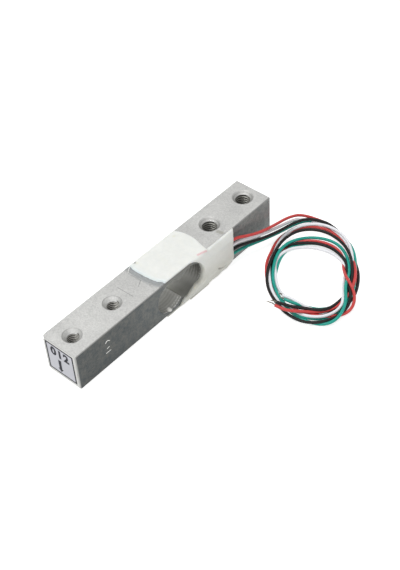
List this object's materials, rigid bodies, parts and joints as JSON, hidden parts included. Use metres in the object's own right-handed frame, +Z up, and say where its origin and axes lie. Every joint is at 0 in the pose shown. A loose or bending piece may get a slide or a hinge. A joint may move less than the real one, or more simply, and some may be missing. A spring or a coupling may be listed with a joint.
{
  "type": "single point load cell",
  "caption": "Aluminium bar load cell with a binocular cut-out, tapped end holes, strain gauges under white silicone and thin coloured leads in a loose coil.",
  "frame": {"origin": "middle of the beam, midway between the two bores of the cut-out", "axes": "+X along the beam towards the end where the leads leave, +Z up, through the tapped holes"},
  "size_m": [0.0927, 0.0515, 0.014],
  "materials": {
    "beam": "fine ground, dull",
    "gauge_film": "amber film",
    "gauge_foil": "etched foil",
    "terminal_strip": "coated board",
    "copper": "tinned copper",
    "solder": "solder",
    "strand": "tinned copper strands",
    "silicone": "soft gloss",
    "glue": "clear glue",
    "label": "printed paper",
    "coil_insulation": "soft insulation",
    "wire_red": "soft insulation",
    "wire_white": "soft insulation",
    "wire_black": "soft insulation",
    "wire_green": "soft insulation"
  },
  "bodies": {
    "root": {"beam": "beam", "bottom_coat": "silicone", "end_label": "label", "gauge_film_bottom_base": "gauge_film", "gauge_film_bottom_platform": "gauge_film", "gauge_film_top_base": "gauge_film", "gauge_film_top_platform": "gauge_film", "gauge_grid_bottom_base": "gauge_foil", "gauge_grid_bottom_platform": "gauge_foil", "gauge_grid_top_base": "gauge_foil", "gauge_grid_top_platform": "gauge_foil", "glue_drop": "glue", "jumper_bottom_black": "wire_black", "jumper_bottom_green": "wire_green", "jumper_bottom_white": "wire_white", "jumper_top_green": "wire_green", "jumper_top_red": "wire_red", "jumper_top_white": "wire_white", "lead_black": "wire_black", "lead_coil": "coil_insulation", "lead_green": "wire_green", "lead_red": "wire_red", "lead_white": "wire_white", "link_wire_bottom": "wire_black", "link_wire_top": "wire_red", "silicone_coat": "silicone", "solder_joints": "solder", "solder_pads": "copper", "strand_black": "strand", "strand_green": "strand", "strand_red": "strand", "strand_white": "strand", "tail_black": "wire_black", "tail_green": "wire_green", "tail_red": "wire_red", "tail_white": "wire_white", "terminal_strip": "terminal_strip"}
  },
  "joints": []
}
